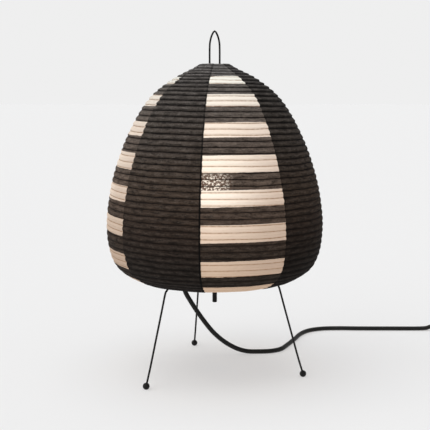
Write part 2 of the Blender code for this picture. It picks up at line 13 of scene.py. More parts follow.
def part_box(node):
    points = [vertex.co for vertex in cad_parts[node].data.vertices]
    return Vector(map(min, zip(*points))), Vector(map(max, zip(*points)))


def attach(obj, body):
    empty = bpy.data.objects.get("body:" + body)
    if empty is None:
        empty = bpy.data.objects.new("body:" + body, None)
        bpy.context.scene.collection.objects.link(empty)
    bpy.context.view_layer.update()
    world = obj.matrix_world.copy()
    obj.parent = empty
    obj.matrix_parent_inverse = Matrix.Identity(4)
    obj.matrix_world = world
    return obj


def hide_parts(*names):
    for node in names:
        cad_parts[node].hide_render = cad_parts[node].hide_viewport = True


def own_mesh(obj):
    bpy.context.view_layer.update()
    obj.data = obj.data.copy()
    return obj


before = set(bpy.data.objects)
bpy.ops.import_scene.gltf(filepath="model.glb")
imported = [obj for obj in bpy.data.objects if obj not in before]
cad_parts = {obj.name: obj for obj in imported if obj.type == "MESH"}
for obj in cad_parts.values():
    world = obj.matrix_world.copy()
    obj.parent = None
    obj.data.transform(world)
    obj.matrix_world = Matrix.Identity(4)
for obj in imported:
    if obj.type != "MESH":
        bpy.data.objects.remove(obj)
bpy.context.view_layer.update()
scene = bpy.context.scene


# ---------------------------------------------------------------- studio
# A camera a little above the middle of the shade, and an even pale floor that runs back out
# of sight and glows a little, so that shadows stay faint. The light is soft from all round,
# with a broad light from above and another from the left.

def add_node(tree, kind, inputs=(), **settings):
    """Adds a shader node, with a value or another node's output for each input."""
    node = tree.nodes.new("ShaderNode" + kind)
    for name, value in settings.items():
        setattr(node, name, value)
    for socket, value in dict(inputs).items():
        if isinstance(value, bpy.types.NodeSocket):
            tree.links.new(value, node.inputs[socket])
        else:
            node.inputs[socket].default_value = value
    return node


def new_material(name, uniform):
    """A material whose shader has these values on its own sockets, where all of it is alike."""
    mat = bpy.data.materials.new(name)
    mat.use_nodes = True
    shader = mat.node_tree.nodes["Principled BSDF"]
    for socket, value in uniform.items():
        shader.inputs[socket].default_value = value
    return mat, mat.node_tree, shader


def select_only(obj):
    """Makes one piece both the only one selected and the active one."""
    bpy.ops.object.select_all(action="DESELECT")
    obj.select_set(True)
    bpy.context.view_layer.objects.active = obj


scene.view_settings.view_transform = "Standard"
bpy.ops.object.select_all(action="DESELECT")
bpy.ops.object.camera_add(location=(0.0004, -1.074, 0.334), rotation=(math.radians(82.49), 0, 0))
camera = bpy.context.object
camera.name = "camera"
camera.data.lens = 74.95
camera.data.sensor_width = 36
camera.data.clip_start, camera.data.clip_end = 0.05, 100
scene.camera = camera

bpy.ops.mesh.primitive_plane_add(size=80, location=(0, 0, 0))
floor = bpy.context.object
floor.name = "floor"
mat, tree, shader = new_material("studio_floor", {
    "Base Color": (0.417, 0.430, 0.433, 1), "Roughness": 0.95, "Specular IOR Level": 0.0,
    "Emission Color": (0.444, 0.431, 0.428, 1), "Emission Strength": 1.0})
floor.data.materials.append(mat)

world = bpy.data.worlds.new("studio_world")
world.use_nodes = True
tree = world.node_tree
seen = add_node(tree, "LightPath").outputs["Is Camera Ray"]
shade_of_grey = add_node(tree, "MixRGB", {"Fac": seen, "Color1": (0.44, 0.44, 0.445, 1),
                                          "Color2": (0.862, 0.862, 0.862, 1)})
tree.links.new(shade_of_grey.outputs["Color"], tree.nodes["Background"].inputs["Color"])
scene.world = world

for name, energy, spread, travel in (("overhead_light", 1.31, 58, (0.10, 0.05, -1)),
                                     ("left_hand_light", 1.45, 80, (1, 0.45, -0.42))):
    bpy.ops.object.select_all(action="DESELECT")
    bpy.ops.object.light_add(type="SUN", location=(-1, -1, 3))
    lamp = bpy.context.object
    lamp.name = name
    lamp.data.energy = energy
    lamp.data.angle = math.radians(spread)
    lamp.rotation_euler = Vector(travel).to_track_quat("-Z", "Y").to_euler()


# ---------------------------------------------------------------- lead
# One round rubber-sheathed lead. It leaves the lampholder's side inside the shade, drops out
# past the hub to the table, and runs back and to the right, where its spare length is coiled.

def ranged(tree, value, low, high, start=0.0, end=1.0, kind="LINEAR"):
    """A value's place between low and high, as a number from start to end."""
    return add_node(tree, "MapRange", {"Value": value, "From Min": low, "From Max": high, "To Min": start,
                                       "To Max": end}, interpolation_type=kind).outputs[0]


def combined(tree, operation, a, b):
    """The result of arithmetic on two values."""
    return add_node(tree, "Math", {0: a, 1: b}, operation=operation).outputs[0]


def grain_group():
    """Broad tone, fine height, roughness and settled dust for any plain surface."""
    group = bpy.data.node_groups.new("surface_grain", "ShaderNodeTree")
    for name, start in (("Scale", 300.0), ("Smooth", 0.3), ("Rough", 0.5)):
        socket = group.interface.new_socket(name, in_out="INPUT", socket_type="NodeSocketFloat")
        socket.default_value = start
    for name in ("Tone", "Height", "Roughness", "Dust"):
        group.interface.new_socket(name, in_out="OUTPUT", socket_type="NodeSocketFloat")
    inside = group.nodes.new("NodeGroupInput")
    place = add_node(group, "TexCoord").outputs["Object"]
    broad_scale = combined(group, "MULTIPLY", inside.outputs["Scale"], 0.12)
    broad = add_node(group, "TexNoise", {"Vector": place, "Scale": broad_scale,
                                         "Detail": 3.0, "Roughness": 0.6})
    fine = add_node(group, "TexNoise", {"Vector": place, "Scale": inside.outputs["Scale"],
                                        "Detail": 4.0, "Roughness": 0.65})
    height = fine.outputs["Fac"]
    tone = ranged(group, broad.outputs["Fac"], 0.35, 0.65)
    rough = ranged(group, combined(group, "MULTIPLY", tone, height), 0.0, 0.6,
                   inside.outputs["Smooth"], inside.outputs["Rough"])
    facing = add_node(group, "SeparateXYZ", {0: add_node(group, "NewGeometry").outputs["Normal"]})
    upward = ranged(group, facing.outputs["Z"], 0.55, 1.0)
    dust = combined(group, "MULTIPLY", upward, ranged(group, height, 0.5, 0.72))
    out = group.nodes.new("NodeGroupOutput")
    for name, value in (("Tone", tone), ("Height", height), ("Roughness", rough), ("Dust", dust)):
        group.links.new(value, out.inputs[name])
    return group


GRAIN = grain_group()
DUST_COLOUR = (0.30, 0.28, 0.25)


def mix(tree, share, a, b, kind="MIX"):
    """Two colours mixed by a share: each is three numbers or another node's output."""
    inputs = {"Fac": share}
    for socket, value in (("Color1", a), ("Color2", b)):
        inputs[socket] = value if isinstance(value, bpy.types.NodeSocket) else (*value, 1)
    return add_node(tree, "MixRGB", inputs, blend_type=kind).outputs["Color"]


def finish(name, dark, light, scale, smooth, rough, bump=0.1, dust=0.2, **uniform):
    """A plain finish: two tones of one colour, grain in the gloss and relief, dust on top."""
    sockets = {key.replace("_", " "): value for key, value in uniform.items()}
    mat, tree, shader = new_material(name, sockets)
    grain = add_node(tree, "Group", node_tree=GRAIN)
    for socket, value in (("Scale", scale), ("Smooth", smooth), ("Rough", rough)):
        grain.inputs[socket].default_value = value
    share = combined(tree, "MULTIPLY", grain.outputs["Dust"], dust)
    dusty = mix(tree, share, mix(tree, grain.outputs["Tone"], dark, light), DUST_COLOUR)
    relief = add_node(tree, "Bump", {"Height": grain.outputs["Height"], "Strength": bump, "Distance": 0.0004})
    tree.links.new(dusty, shader.inputs["Base Color"])
    tree.links.new(grain.outputs["Roughness"], shader.inputs["Roughness"])
    tree.links.new(relief.outputs["Normal"], shader.inputs["Normal"])
    return mat


def smooth_line(points, spacing):
    """Evenly spaced points on a smooth curve through the given ones."""
    knots = [Vector(p) for p in points]
    knots = [2 * knots[0] - knots[1], *knots, 2 * knots[-1] - knots[-2]]
    fine = [knots[1]]
    for a, b, c, d in zip(knots, knots[1:], knots[2:], knots[3:]):
        for i in range(1, 17):
            t = i / 16
            fine.append(0.5 * (2 * b + (c - a) * t + (2 * a - 5 * b + 4 * c - d) * t ** 2
                               + (3 * b - a - 3 * c + d) * t ** 3))
    run = np.concatenate([[0], np.cumsum([(b - a).length for a, b in zip(fine, fine[1:])])])
    even = np.linspace(0, run[-1], max(2, 2 * round(run[-1] / spacing / 2)) + 1)
    fine = np.array(fine)
    return [Vector(p) for p in zip(*(np.interp(even, run, fine[:, k]) for k in range(3)))]


def lay_line(name, points, radius, resolution, mat):
    """A round section drawn along the points, with closed ends."""
    curve = bpy.data.curves.new(name, "CURVE")
    curve.dimensions = "3D"
    curve.bevel_depth = radius
    curve.bevel_resolution = resolution
    curve.use_fill_caps = True
    spline = curve.splines.new("POLY")
    spline.points.add(len(points) - 1)
    for spot, p in zip(spline.points, points):
        spot.co = (*p, 1.0)
    curve.materials.append(mat)
    obj = bpy.data.objects.new(name, curve)
    scene.collection.objects.link(obj)
    return obj


def polar(radius, angle, height):
    """A point at a distance and an angle from the lamp's axis."""
    return Vector((radius * math.cos(angle), radius * math.sin(angle), height))


CORD_RADIUS = 0.003
GRIP_ANGLE = math.radians(130)
GRIP_HEIGHT = 0.1365
LEAD_START = polar(0.0200, GRIP_ANGLE, GRIP_HEIGHT)
LEAD_ROUTE = [
    LEAD_START, (-0.0227, 0.0271, 0.1365), (-0.0262, 0.0313, 0.1363), (-0.0328, 0.0391, 0.1333),
    (-0.0384, 0.0458, 0.1245), (-0.0404, 0.0481, 0.1146), (-0.0402, 0.0479, 0.1015),
    (-0.0379, 0.0470, 0.0883), (-0.0306, 0.0460, 0.0749), (-0.0213, 0.0465, 0.0602),
    (-0.0097, 0.0480, 0.0436), (0.0008, 0.0515, 0.0305), (0.0141, 0.0565, 0.0182),
    (0.0285, 0.0625, 0.0086), (0.0420, 0.0660, 0.0038), (0.0570, 0.0668, 0.0031),
    (0.0730, 0.0690, 0.0031), (0.0870, 0.0780, 0.0031), (0.0968, 0.0965, 0.0031),
    (0.1105, 0.1290, 0.0031), (0.1205, 0.1540, 0.0031), (0.1345, 0.1735, 0.0031),
    (0.1550, 0.1840, 0.0031), (0.1800, 0.1862, 0.0031), (0.2100, 0.1850, 0.0031),
    (0.2500, 0.1848, 0.0031), (0.2990, 0.1850, 0.0032), (0.3110, 0.1850, 0.0057),
    (0.3200, 0.1850, 0.0079), (0.3248, 0.1850, 0.0080),
]
cord_rubber = finish("cord_rubber", (0.004, 0.004, 0.003), (0.010, 0.009, 0.008), 900, 0.42, 0.56,
                     bump=0.12, dust=0.06, Specular_IOR_Level=0.25)
lead = lay_line("lead_to_switch", smooth_line(LEAD_ROUTE, 0.004), CORD_RADIUS, 4, cord_rubber)
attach(lead, "stand")
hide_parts("cord_tube")

COIL_CENTRE = Vector((0.4150, 0.1450, 0))
COIL_TURNS = [          # (degrees wound so far, radius, height) where the winding changes
    (0, 0.0400, 0.0043), (225, 0.0400, 0.0043), (335, 0.0340, 0.0043), (585, 0.0340, 0.0043),
    (695, 0.0280, 0.0043), (825, 0.0280, 0.0043), (945, 0.0280, 0.0103), (985, 0.0280, 0.0103),
    (1105, 0.0340, 0.0103), (1345, 0.0340, 0.0103), (1465, 0.0400, 0.0103),
    (1705, 0.0400, 0.0103), (1825, 0.0468, 0.0103),
]
TAIL_ROUTE = [
    (0.4451, 0.1809, 0.0103), (0.4574, 0.1648, 0.0092), (0.4618, 0.1450, 0.0070),
    (0.4615, 0.1280, 0.0043), (0.4595, 0.1120, 0.0032), (0.4530, 0.0985, 0.0031),
    (0.4420, 0.0885, 0.0042), (0.4300, 0.0842, 0.0062), (0.4232, 0.0840, 0.0070),
]


def wound(degrees):
    """A point of the coil: flat turns from the outside in, then back out on top of them."""
    for (start, r0, z0), (end, r1, z1) in zip(COIL_TURNS, COIL_TURNS[1:]):
        if degrees <= end:
            share = 0.5 - 0.5 * math.cos(math.pi * (degrees - start) / (end - start))
            return COIL_CENTRE + polar(r0 + (r1 - r0) * share, math.radians(90 - degrees),
                                       z0 + (z1 - z0) * share)


tail_points = [(0.3794, 0.1850, 0.0080), (0.3835, 0.1850, 0.0079), (0.3870, 0.1850, 0.0070),
               (0.3905, 0.1850, 0.0058), (0.4030, 0.1850, 0.0045),
               *(wound(d) for d in range(0, 1826, 15)), *TAIL_ROUTE]
tail = lay_line("lead_to_plug", smooth_line(tail_points, 0.004), CORD_RADIUS, 3, cord_rubber)
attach(tail, "stand")
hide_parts("cord_link", "cord_coil", "cord_tail")


# ---------------------------------------------------------------- grip
# The moulded sleeve in the lampholder's side: a collar that seats in the wall, then a taper
# with grooves that keeps the lead from bending sharply.

def turned(name, outline, sides, mat, hollow=False):
    """Draws a ring out along an outline of (radius, height), as a lathe would leave it."""
    bpy.ops.object.select_all(action="DESELECT")
    r, z = outline[0]
    bpy.ops.mesh.primitive_circle_add(vertices=sides, radius=r, location=(0, 0, z),
                                      fill_type="NOTHING" if hollow else "NGON")
    obj = bpy.context.object
    obj.name = obj.data.name = name
    bpy.ops.object.transform_apply(location=True, rotation=True, scale=True)
    bpy.ops.object.mode_set(mode="EDIT")
    bpy.ops.mesh.select_all(action="SELECT")
    for (r0, z0), (r1, z1) in zip(outline, outline[1:]):
        bpy.ops.mesh.extrude_region_move(TRANSFORM_OT_translate={"value": (0, 0, z1 - z0)})
        bpy.ops.transform.resize(value=(r1 / r0, r1 / r0, 1))
    bpy.ops.mesh.select_all(action="SELECT")
    bpy.ops.mesh.remove_doubles(threshold=0.000002)
    bpy.ops.mesh.normals_make_consistent(inside=False)
    bpy.ops.object.mode_set(mode="OBJECT")
    bpy.ops.object.shade_smooth_by_angle(angle=math.radians(32))
    obj.data.materials.append(mat)
    return obj


def placed(obj, matrix):
    """Moves a finished piece and fixes its new place in its mesh."""
    obj.matrix_world = matrix
    select_only(obj)
    bpy.ops.object.transform_apply(location=True, rotation=True, scale=True)
    return obj


grip_outline = [(0.0031, 0.0160), (0.0039, 0.0162), (0.0039, 0.0199), (0.0053, 0.0199),
                (0.0056, 0.0202), (0.0056, 0.0222), (0.0050, 0.0228)]
for groove in range(5):
    start, wide = 0.0228 + groove * 0.0032, 0.0048 - groove * 0.00027
    grip_outline += [(wide - 0.0006, start + 0.0004), (wide - 0.0006, start + 0.0010),
                     (wide, start + 0.0014), (wide - 0.0002, start + 0.0030)]
grip_outline += [(0.0034, 0.0392), (0.0031, 0.0395), (0.0031, 0.0160)]
grip = turned("lead_grip", grip_outline, 32, cord_rubber, hollow=True)
placed(grip, Matrix.Translation((0, 0, GRIP_HEIGHT)) @ Matrix.Rotation(GRIP_ANGLE, 4, "Z")
       @ Matrix.Rotation(math.pi / 2, 4, "Y"))
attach(grip, "stand")
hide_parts("cord_grip")


# ---------------------------------------------------------------- coil tie
# A woven band with a flat buckle that holds the coil's turns together on its left side.

def softened(name, node, width, mat, segments=3):
    """A copy of a CAD node's mesh, its flat faces made whole and its edges rounded."""
    obj = bpy.data.objects.new(name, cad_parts[node].data.copy())
    scene.collection.objects.link(obj)
    obj.data.name = name
    select_only(obj)
    bpy.ops.object.mode_set(mode="EDIT")
    bpy.ops.mesh.select_all(action="SELECT")
    bpy.ops.mesh.remove_doubles(threshold=0.000005)
    bpy.ops.mesh.dissolve_limited(angle_limit=math.radians(2))
    bpy.ops.object.mode_set(mode="OBJECT")
    edges = obj.modifiers.new("rounding", "BEVEL")
    edges.width = width
    edges.segments = segments
    edges.limit_method = "ANGLE"
    edges.angle_limit = math.radians(35)
    edges.use_clamp_overlap = True
    bpy.ops.object.modifier_apply(modifier="rounding")
    bpy.ops.object.shade_smooth_by_angle(angle=math.radians(32))
    obj.data.materials.clear()
    obj.data.materials.append(mat)
    return obj


mat, tree, shader = new_material("tie_band", {"Roughness": 0.85, "Specular IOR Level": 0.2,
                                              "Sheen Weight": 0.3})
place = add_node(tree, "TexCoord").outputs["Object"]
weave_across = add_node(tree, "TexWave", {"Vector": place, "Scale": 260.0, "Distortion": 0.4},
                        bands_direction="Y")
weave_along = add_node(tree, "TexWave", {"Vector": place, "Scale": 260.0, "Distortion": 0.4},
                       bands_direction="X")
weave = combined(tree, "MULTIPLY", weave_across.outputs["Fac"], weave_along.outputs["Fac"])
threads = mix(tree, weave, (0.010, 0.010, 0.011), (0.045, 0.044, 0.043))
relief = add_node(tree, "Bump", {"Height": weave, "Strength": 0.5, "Distance": 0.0003})
tree.links.new(threads, shader.inputs["Base Color"])
tree.links.new(relief.outputs["Normal"], shader.inputs["Normal"])
tie = softened("coil_band", "coil_tie", 0.00025, mat)
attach(tie, "stand")
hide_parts("coil_tie")


# ---------------------------------------------------------------- switch
# An inline switch for the hand: a moulded base and cover held by one screw, with a rocker
# that tilts on a cross axis. The lead enters one end and leaves the other.
switch_plastic = finish("switch_plastic", (0.010, 0.010, 0.010), (0.020, 0.019, 0.019), 1400, 0.32, 0.46,
                        bump=0.15, dust=0.35)
screw_steel = finish("screw_steel", (0.42, 0.42, 0.43), (0.58, 0.58, 0.58), 2500, 0.22, 0.40,
                     bump=0.06, dust=0.1, Metallic=1.0)
for name, node, width in (("switch_lower_half", "switch_base", 0.0016),
                          ("switch_upper_half", "switch_cover", 0.0012)):
    half = softened(name, node, width, switch_plastic, 4)
    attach(half, "stand")
    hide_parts(node)

rocker = softened("rocker_key", "switch_rocker", 0.0005, switch_plastic)
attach(rocker, "rocker")
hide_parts("switch_rocker")


def cut_away(obj, cutter):
    """Takes the cutter's shape out of a piece, and the cutter out of the scene."""
    cut = obj.modifiers.new("cut", "BOOLEAN")
    cut.object = cutter
    select_only(obj)
    bpy.ops.object.modifier_apply(modifier="cut")
    bpy.data.objects.remove(cutter, do_unlink=True)


low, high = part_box("switch_screw")
middle = (Vector(low) + Vector(high)) / 2
screw = turned("cover_screw", [(0.0026, low[2]), (0.0026, low[2] + 0.0010), (0.0023, low[2] + 0.0014),
                               (0.0016, high[2] - 0.0001), (0.0006, high[2])], 32, screw_steel)
placed(screw, Matrix.Translation((middle.x, middle.y, 0)))
bpy.ops.mesh.primitive_cube_add(size=1, location=(middle.x, middle.y, high[2]),
                                scale=(0.0044, 0.0007, 0.0012))
cut_away(screw, bpy.context.object)
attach(screw, "stand")
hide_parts("switch_screw")


# ---------------------------------------------------------------- plug
# A flat two-pin plug moulded onto the lead's end, with finger grooves on its faces and two
# round nickelled pins.
cap_metal = finish("cap_metal", (0.50, 0.49, 0.47), (0.68, 0.67, 0.65), 1800, 0.20, 0.38,
                   bump=0.05, dust=0.1, Metallic=1.0)
plug = softened("plug_moulding", "plug_body", 0.0018, cord_rubber, 4)
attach(plug, "stand")
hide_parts("plug_body")
for node in ("plug_pin_1", "plug_pin_2"):
    low, high = (Vector(c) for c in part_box(node))
    reach, radius = high.x - low.x, (high.z - low.z) / 2
    pin = turned(node.replace("plug", "round"), [
        (radius, 0), (radius, reach * 0.52), (radius * 0.93, reach * 0.53), (radius * 0.93, reach * 0.56),
        (radius, reach * 0.57), (radius, reach - 0.0012), (radius * 0.85, reach - 0.0004),
        (radius * 0.4, reach)], 28, cap_metal)
    placed(pin, Matrix.Translation((high.x, (low.y + high.y) / 2, (low.z + high.z) / 2))
           @ Matrix.Rotation(-math.pi / 2, 4, "Y"))
    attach(pin, "stand")
    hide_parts(node)


# ---------------------------------------------------------------- hub and bolt
# A turned black disc that takes the feet of the bow and the three legs, clamped to the
# lampholder by a long bolt, with a washer above it and a hexagon nut below.
HUB_RADIUS, HUB_BOTTOM, HUB_TOP = 0.0180, 0.1040, 0.1150
hub_enamel = finish("hub_enamel", (0.008, 0.008, 0.008), (0.018, 0.017, 0.017), 700, 0.28, 0.46,
                    bump=0.08, dust=0.25, Coat_Weight=0.15)
hub = turned("hub_disc", [
    (0.0034, HUB_BOTTOM), (0.0160, HUB_BOTTOM), (0.0172, HUB_BOTTOM + 0.0003),
    (0.0178, HUB_BOTTOM + 0.0009), (HUB_RADIUS, HUB_BOTTOM + 0.0018), (HUB_RADIUS, HUB_BOTTOM + 0.0027),
    (0.0174, HUB_BOTTOM + 0.0031), (0.0174, HUB_BOTTOM + 0.0035), (HUB_RADIUS, HUB_BOTTOM + 0.0039),
    (HUB_RADIUS, HUB_TOP - 0.0018), (0.0178, HUB_TOP - 0.0009), (0.0172, HUB_TOP - 0.0003),
    (0.0160, HUB_TOP), (0.0034, HUB_TOP), (0.0034, HUB_BOTTOM)], 72, hub_enamel, hollow=True)
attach(hub, "stand")
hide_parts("hub")

bolt_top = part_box("centre_stem")[1][2]
bolt = [(0.0024, 0.0850), (0.0029, 0.0855)]
for turn in range(16):
    height = 0.0860 + turn * 0.0010
    bolt += [(0.0030, height), (0.0026, height + 0.0005)]
bolt += [(0.0030, 0.1022), (0.0030, bolt_top - 0.0028), (0.0058, bolt_top - 0.0028),
         (0.0060, bolt_top - 0.0026), (0.0060, bolt_top - 0.0009), (0.0050, bolt_top - 0.0001),
         (0.0030, bolt_top)]
stem = turned("threaded_stem", bolt, 32, hub_enamel)
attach(stem, "stand")
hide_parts("centre_stem")
for name, node, width in (("hexagon_nut", "stem_nut", 0.0005), ("flat_washer", "hub_washer", 0.0002)):
    part = softened(name, node, width, hub_enamel)
    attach(part, "stand")
    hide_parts(node)


# ---------------------------------------------------------------- legs and feet
# Three bent wires in black paint. Each leaves the hub, rises inside the bottom ring, is
# notched round it and runs out and down to a small ball that is a little flat underneath.
RING_RADIUS, RING_WIRE, RING_HEIGHT = 0.0774, 0.00125, 0.1162
LEG_WIRE = 0.0012
LEG_ANGLES = {"front": math.radians(224.4), "right": math.radians(344.4), "back": math.radians(104.4)}
LEG_HEIGHT = 0.1085
FOOT_CIRCLE, FOOT_RADIUS, FOOT_FLAT = 0.1104, 0.0040, 0.0003
black_wire = finish("black_wire", (0.004, 0.004, 0.004), (0.009, 0.008, 0.008), 1100, 0.42, 0.56,
                    bump=0.06, dust=0.05, Specular_IOR_Level=0.20)


def wire(name, points, radius, resolution, mat):
    """A bent wire, turned to a mesh."""
    obj = lay_line(name, points, radius, resolution, mat)
    select_only(obj)
    bpy.ops.object.convert(target="MESH")
    obj = bpy.context.object
    obj.name = obj.data.name = name
    bpy.ops.object.shade_smooth_by_angle(angle=math.radians(50))
    return obj


knee = RING_RADIUS - RING_WIRE - LEG_WIRE - 0.0008
ball = FOOT_RADIUS - FOOT_FLAT
slope = Vector((FOOT_CIRCLE - 0.0802, ball - 0.1075)).normalized()
tip = Vector((FOOT_CIRCLE, ball)) - slope * 0.0006
LEG_SIDE = [
    (0.0106, LEG_HEIGHT), (0.0240, LEG_HEIGHT), (0.0420, LEG_HEIGHT + 0.0010), (0.0600, 0.1140),
    (0.0700, 0.1200), (0.0750, 0.1216), (knee, RING_HEIGHT), (0.0776, 0.1108), (0.0802, 0.1075),
    (0.0860, 0.0871), (0.0950, 0.0555), (0.1040, 0.0240), tuple(tip),
]
for name, angle in LEG_ANGLES.items():
    leg = wire(f"wire_leg_{name}", smooth_line([polar(r, angle, z) for r, z in LEG_SIDE], 0.0018),
               LEG_WIRE, 4, black_wire)
    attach(leg, "stand")
    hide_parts(f"leg_{name}")

    centre = polar(FOOT_CIRCLE, angle, ball)
    bpy.ops.object.select_all(action="DESELECT")
    bpy.ops.mesh.primitive_uv_sphere_add(segments=40, ring_count=24, radius=FOOT_RADIUS, location=centre)
    foot = bpy.context.object
    foot.name = foot.data.name = f"ball_foot_{name}"
    bpy.ops.object.transform_apply(location=True, rotation=True, scale=True)
    bpy.ops.object.mode_set(mode="EDIT")
    bpy.ops.mesh.select_all(action="SELECT")
    bpy.ops.mesh.bisect(plane_co=(0, 0, 0), plane_no=(0, 0, -1), use_fill=True, clear_outer=True)
    bpy.ops.object.mode_set(mode="OBJECT")
    bpy.ops.object.shade_smooth_by_angle(angle=math.radians(30))
    foot.data.materials.append(black_wire)
    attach(foot, "stand")
    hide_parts(f"foot_{name}")


# ---------------------------------------------------------------- bow
# One springy wire: a pointed carrying loop above the shade, two straight legs down through
# the bridge's eyes, then a wide bow round the bulb, with its ends in the hub.
BOW_TOP, BOW_GAP, BOW_WIDE, BOW_FOOT, BOW_WIRE = 0.4110, 0.0059, 0.0400, 0.0140, 0.0011
BOW_SIDE = [
    (0.0000, BOW_TOP), (0.0030, BOW_TOP - 0.0042), (0.0051, BOW_TOP - 0.0110),
    (BOW_GAP, BOW_TOP - 0.0200), (BOW_GAP, 0.3600), (BOW_GAP, 0.3250), (BOW_GAP, 0.2900),
    (BOW_GAP, 0.2855), (0.0110, 0.2775), (0.0290, 0.2650), (BOW_WIDE, 0.2450),
    (BOW_WIDE, 0.2150), (BOW_WIDE, 0.1750), (0.0380, 0.1520), (0.0320, 0.1360),
    (0.0230, 0.1260), (0.0160, 0.1210), (BOW_FOOT, 0.1160), (BOW_FOOT, HUB_TOP - 0.0045),
]
bow_route = [(x, 0, z) for x, z in reversed(BOW_SIDE)] + [(-x, 0, z) for x, z in BOW_SIDE[1:]]
bow = wire("sprung_bow", smooth_line(bow_route, 0.0020), BOW_WIRE, 4, black_wire)
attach(bow, "stand")
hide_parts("bow")


# ---------------------------------------------------------------- lampholder
# A black moulded cap and a ribbed skirt that screw together over a ceramic core, with a
# brass screw shell and a spring contact for the bulb.
HOLDER_RADIUS, CAP_BOTTOM, CAP_TOP, HOLDER_TOP = 0.0195, 0.1166, 0.1460, 0.1780
holder_plastic = finish("holder_plastic", (0.009, 0.009, 0.009), (0.019, 0.018, 0.018), 1200, 0.30, 0.46,
                        bump=0.12, dust=0.3)
ceramic = finish("ceramic", (0.62, 0.60, 0.55), (0.74, 0.72, 0.67), 500, 0.30, 0.5, bump=0.08, dust=0.2)
contact_brass = finish("contact_brass", (0.56, 0.38, 0.15), (0.78, 0.57, 0.27), 1500, 0.22, 0.42,
                       bump=0.06, dust=0.1, Metallic=1.0)
bore, wall = 0.0033, 0.0016
holder_cap = turned("holder_dome", [
    (bore, CAP_BOTTOM), (0.0088, CAP_BOTTOM), (0.0092, CAP_BOTTOM + 0.0004), (0.0098, CAP_BOTTOM + 0.0040),
    (0.0112, CAP_BOTTOM + 0.0058), (0.0145, CAP_BOTTOM + 0.0082), (0.0178, CAP_BOTTOM + 0.0108),
    (0.0191, CAP_BOTTOM + 0.0124), (HOLDER_RADIUS, CAP_BOTTOM + 0.0143), (HOLDER_RADIUS, CAP_TOP - 0.0006),
    (HOLDER_RADIUS - 0.0004, CAP_TOP), (HOLDER_RADIUS - wall, CAP_TOP),
    (HOLDER_RADIUS - wall, CAP_BOTTOM + 0.0150), (0.0130, CAP_BOTTOM + 0.0096),
    (0.0082, CAP_BOTTOM + 0.0052), (0.0082, CAP_BOTTOM + 0.0040), (bore, CAP_BOTTOM + 0.0040),
    (bore, CAP_BOTTOM)], 72, holder_plastic, hollow=True)
bpy.ops.object.select_all(action="DESELECT")
side_hole = polar(0.0190, GRIP_ANGLE, GRIP_HEIGHT)
bpy.ops.mesh.primitive_cylinder_add(vertices=32, radius=0.0043, depth=0.0140, location=side_hole,
                                    rotation=(0, math.pi / 2, GRIP_ANGLE))
cut_away(holder_cap, bpy.context.object)
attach(holder_cap, "stand")
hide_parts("holder_cap")

skirt_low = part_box("holder_skirt")[0][2]
skirt_outline = [(0.0176, skirt_low), (HOLDER_RADIUS - 0.0004, skirt_low),
                 (HOLDER_RADIUS, skirt_low + 0.0005), (HOLDER_RADIUS, skirt_low + 0.0035)]
for rib in range(9):
    height = skirt_low + 0.0045 + rib * 0.0027
    skirt_outline += [(HOLDER_RADIUS - 0.0007, height), (HOLDER_RADIUS - 0.0007, height + 0.0010),
                      (HOLDER_RADIUS, height + 0.0014), (HOLDER_RADIUS, height + 0.0022)]
skirt_outline += [(HOLDER_RADIUS, HOLDER_TOP - 0.0009), (HOLDER_RADIUS - 0.0009, HOLDER_TOP),
                  (0.0150, HOLDER_TOP), (0.0146, HOLDER_TOP - 0.0004), (0.0146, skirt_low + 0.0041),
                  (0.0176, skirt_low + 0.0041), (0.0176, skirt_low)]
skirt = turned("holder_ribbed_skirt", skirt_outline, 72, holder_plastic, hollow=True)
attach(skirt, "stand")
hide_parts("holder_skirt")
for node, mat in (("holder_core", ceramic), ("screw_shell", contact_brass),
                  ("centre_contact", contact_brass)):
    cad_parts[node].material_slots[0].material = mat


# ---------------------------------------------------------------- bulb
# A round opal bulb, lit, with a screw cap of plated steel, a dark insulator and a solder tip.
# Its cap's thread has the pitch that the bulb climbs by as it is turned.
BULB_CENTRE, BULB_RADIUS = 0.2300, 0.0300
THREAD_PITCH, THREAD_LOW, THREAD_HIGH, THREAD_DEPTH = 0.003629, 0.1602, 0.1780, 0.00035
mat, tree, shader = new_material("opal_glass", {
    "Base Color": (0.90, 0.86, 0.78, 1), "Roughness": 0.25, "Coat Weight": 0.4, "Coat Roughness": 0.08,
    "Emission Strength": 7.0})
place = add_node(tree, "TexCoord").outputs["Object"]
height = add_node(tree, "SeparateXYZ", {0: place}).outputs["Z"]
climb = ranged(tree, height, 0.176, 0.225)
clouding = add_node(tree, "TexNoise", {"Vector": place, "Scale": 60.0, "Detail": 2.0})
strength = combined(tree, "MULTIPLY", climb, ranged(tree, clouding.outputs["Fac"], 0.0, 1.0, 0.9, 1.0))
glow = mix(tree, strength, (0.35, 0.20, 0.10), (1.0, 0.83, 0.62))
tree.links.new(glow, shader.inputs["Emission Color"])
globe = [(BULB_RADIUS * math.cos(math.radians(a)), BULB_CENTRE + BULB_RADIUS * math.sin(math.radians(a)))
         for a in (-22, -14, -6, 2, 10, 18, 26, 34, 42, 50, 58, 66, 74, 82, 88)]
glass = turned("opal_bulb", [
    (0.0118, 0.1722), (0.0120, 0.1800), (0.0124, 0.1822), (0.0134, 0.1842), (0.0150, 0.1870),
    (0.0175, 0.1940), (0.0200, 0.2002), (0.0225, 0.2060), (0.0250, 0.2120), (0.0268, 0.2165), *globe],
    64, mat)
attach(glass, "bulb")
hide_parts("bulb_glass")

